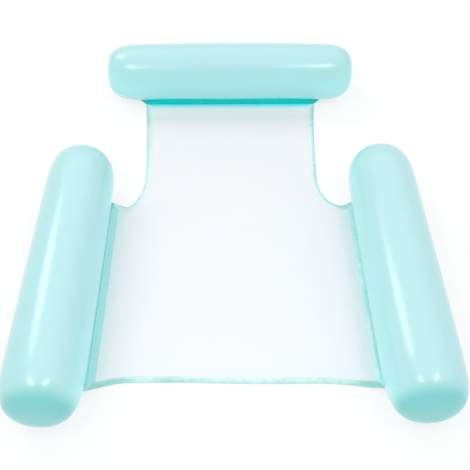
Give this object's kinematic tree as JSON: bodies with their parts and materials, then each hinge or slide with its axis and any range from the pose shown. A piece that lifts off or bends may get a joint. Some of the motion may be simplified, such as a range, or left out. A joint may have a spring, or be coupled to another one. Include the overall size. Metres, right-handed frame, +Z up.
{
  "type": "inflatable water lounger",
  "caption": "Inflated head tube and two inflated arm tubes joined by a slung mesh seat, with push-in inflation valves.",
  "frame": {"origin": "on the ground under the middle of the whole lounger's outline", "axes": "+Y towards the head tube, +Z up, +X to the right seen from the hem"},
  "size_m": [1.022, 1.2904, 0.1815],
  "materials": {
    "vinyl_film": "pale aqua soft vinyl film, glossy and a little see-through",
    "vinyl_flap": "turquoise soft vinyl strip, glossy",
    "vinyl_binding": "pale aqua folded vinyl tape, stitched, softly crinkled",
    "polyester_mesh": "fine white open polyester mesh",
    "valve_vinyl": "milky aqua moulded soft vinyl"
  },
  "bodies": {
    "seat": {"mesh_panel": "polyester_mesh", "left_neck_binding": "vinyl_binding", "right_neck_binding": "vinyl_binding", "hem_binding": "vinyl_binding", "head_seam_tape": "vinyl_binding", "left_seam_tape": "vinyl_binding", "right_seam_tape": "vinyl_binding"},
    "head_tube": {"head_tube_sleeve": "vinyl_film", "head_tube_end_disc_a": "vinyl_film", "head_tube_end_disc_b": "vinyl_film", "head_tube_weld_flap": "vinyl_flap", "head_tube_valve_flange": "valve_vinyl"},
    "head_tube_stem": {"head_tube_valve_stem": "valve_vinyl"},
    "head_tube_stopper": {"head_tube_valve_stopper": "valve_vinyl"},
    "head_tube_membrane": {"head_tube_valve_membrane": "valve_vinyl"},
    "left_arm": {"left_arm_sleeve": "vinyl_film", "left_arm_end_disc_a": "vinyl_film", "left_arm_end_disc_b": "vinyl_film", "left_arm_weld_flap": "vinyl_flap", "left_arm_valve_flange": "valve_vinyl"},
    "left_arm_stem": {"left_arm_valve_stem": "valve_vinyl"},
    "left_arm_stopper": {"left_arm_valve_stopper": "valve_vinyl"},
    "left_arm_membrane": {"left_arm_valve_membrane": "valve_vinyl"},
    "right_arm": {"right_arm_sleeve": "vinyl_film", "right_arm_end_disc_a": "vinyl_film", "right_arm_end_disc_b": "vinyl_film", "right_arm_weld_flap": "vinyl_flap", "right_arm_valve_flange": "valve_vinyl"},
    "right_arm_stem": {"right_arm_valve_stem": "valve_vinyl"},
    "right_arm_stopper": {"right_arm_valve_stopper": "valve_vinyl"},
    "right_arm_membrane": {"right_arm_valve_membrane": "valve_vinyl"}
  },
  "joints": [
    {"name": "head_tube_fold", "type": "hinge", "parent": "seat", "child": "head_tube", "pos_m": [0, 0.48702, 0.013], "axis": [1, 0, 0], "range_deg": [-35, 70]},
    {"name": "head_tube_valve_slide", "type": "slide", "parent": "head_tube", "child": "head_tube_stem", "axis": [0, 0.9063, 0.4226], "range_m": [0, 0.012]},
    {"name": "head_tube_stopper_swing", "type": "hinge", "parent": "head_tube_stem", "child": "head_tube_stopper", "pos_m": [0.232, 0.63889, 0.12999], "axis": [0, 0.4226, -0.9063], "range_deg": [0, 135]},
    {"name": "head_tube_membrane_swing", "type": "hinge", "parent": "head_tube_stem", "child": "head_tube_membrane", "pos_m": [0.2272, 0.62294, 0.12256], "axis": [0, -0.4226, 0.9063], "range_deg": [0, 50], "stiffness_Nm_per_rad": 0.0001, "springref_deg": -5.73},
    {"name": "left_arm_fold", "type": "hinge", "parent": "seat", "child": "left_arm", "pos_m": [-0.34286, -0.2488, 0.013], "axis": [0, 1, 0], "range_deg": [-35, 75]},
    {"name": "left_arm_valve_slide", "type": "slide", "parent": "left_arm", "child": "left_arm_stem", "axis": [-0.9063, 0, -0.4226], "range_m": [0, 0.012]},
    {"name": "left_arm_stopper_swing", "type": "hinge", "parent": "left_arm_stem", "child": "left_arm_stopper", "pos_m": [-0.50469, -0.0168, 0.05101], "axis": [0.4226, 0, -0.9063], "range_deg": [0, 135]},
    {"name": "left_arm_membrane_swing", "type": "hinge", "parent": "left_arm_stem", "child": "left_arm_membrane", "pos_m": [-0.48874, -0.0216, 0.05844], "axis": [-0.4226, 0, 0.9063], "range_deg": [0, 50], "stiffness_Nm_per_rad": 0.0001, "springref_deg": -5.73},
    {"name": "right_arm_fold", "type": "hinge", "parent": "seat", "child": "right_arm", "pos_m": [0.35001, -0.2488, 0.013], "axis": [0, -1, 0], "range_deg": [-35, 75]},
    {"name": "right_arm_valve_slide", "type": "slide", "parent": "right_arm", "child": "right_arm_stem", "axis": [0.9063, 0, -0.4226], "range_m": [0, 0.012]},
    {"name": "right_arm_stopper_swing", "type": "hinge", "parent": "right_arm_stem", "child": "right_arm_stopper", "pos_m": [0.50469, -0.0168, 0.05101], "axis": [0.4226, 0, 0.9063], "range_deg": [0, 135]},
    {"name": "right_arm_membrane_swing", "type": "hinge", "parent": "right_arm_stem", "child": "right_arm_membrane", "pos_m": [0.48874, -0.0216, 0.05844], "axis": [-0.4226, 0, -0.9063], "range_deg": [0, 50], "stiffness_Nm_per_rad": 0.0001, "springref_deg": -5.73}
  ]
}
